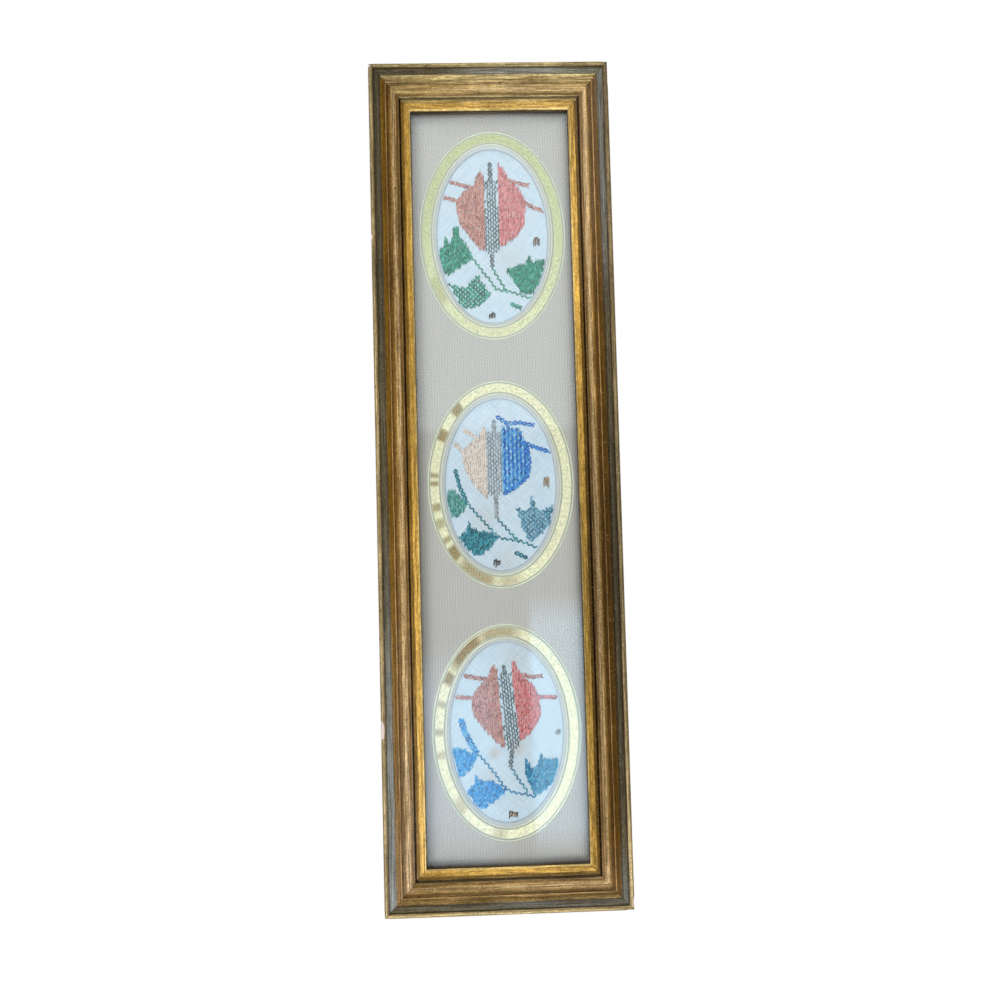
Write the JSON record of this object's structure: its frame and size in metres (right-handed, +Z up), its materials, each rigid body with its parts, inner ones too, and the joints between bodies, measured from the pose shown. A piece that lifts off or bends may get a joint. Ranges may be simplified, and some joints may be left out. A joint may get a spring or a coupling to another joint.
{
  "type": "framed needlepoint picture in a gilt frame",
  "caption": "Tall narrow gilt picture frame with glass and an oval-windowed mat, showing embroidered flowers on pale linen.",
  "frame": {"origin": "middle of the top rail's back face, where the picture bears on the wall", "axes": "+X to the right as seen from the front, +Y into the wall, +Z up; the picture faces -Y"},
  "size_m": [0.1414, 0.021, 0.495],
  "materials": {
    "gilt_moulding": "toned gold leaf over wood, brown wash in the recesses, a dark stained hollow, rubbed and chipped edges",
    "gilt_slip": "warm satin gilding, brighter towards the sight edge",
    "picture_glass": "clear polished picture glass",
    "ribbed_mat": "board faced with upright-ribbed grey-beige cloth, with gold foil lines stamped round each window",
    "embroidered_linen": "fine pale linen laid on the bias, with zigzag stitching in coloured thread",
    "backing_board": "plain brown board, matt"
  },
  "bodies": {
    "root": {"moulding_bottom": "gilt_moulding", "moulding_top": "gilt_moulding", "moulding_left": "gilt_moulding", "moulding_right": "gilt_moulding", "slip_bottom": "gilt_slip", "slip_top": "gilt_slip", "slip_left": "gilt_slip", "slip_right": "gilt_slip", "glass": "picture_glass", "mat": "ribbed_mat", "cloth_top": "embroidered_linen", "cloth_middle": "embroidered_linen", "cloth_bottom": "embroidered_linen", "backing": "backing_board"}
  },
  "joints": []
}
